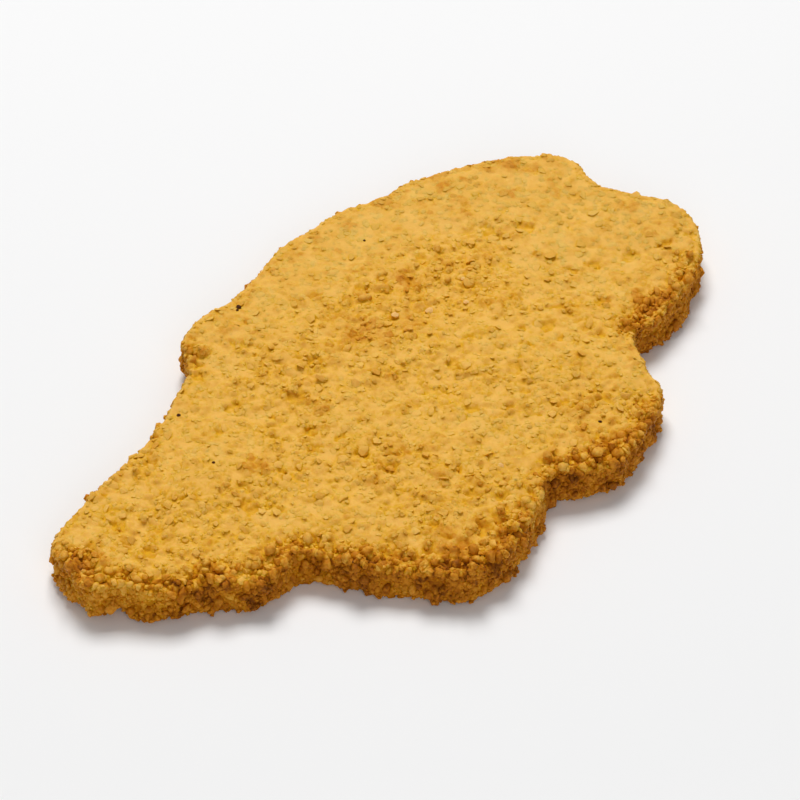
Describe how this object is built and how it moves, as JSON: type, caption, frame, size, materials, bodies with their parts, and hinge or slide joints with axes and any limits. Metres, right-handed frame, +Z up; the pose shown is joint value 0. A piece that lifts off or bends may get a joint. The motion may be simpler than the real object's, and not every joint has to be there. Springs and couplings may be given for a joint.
{
  "type": "schnitzel",
  "caption": "Flat breaded schnitzel in a golden crumb crust, with an uneven lobed edge and a narrow tail at one end.",
  "frame": {"origin": "middle of the bounding box at the base, on the surface that the schnitzel rests on", "axes": "+X along the long axis towards the broad end, away from the tail; +Z up, through the thickness, out of the top crust"},
  "size_m": [0.19, 0.1104, 0.0116],
  "materials": {
    "crumb_crust": "matte"
  },
  "bodies": {
    "root": {"schnitzel": "crumb_crust"}
  },
  "joints": []
}
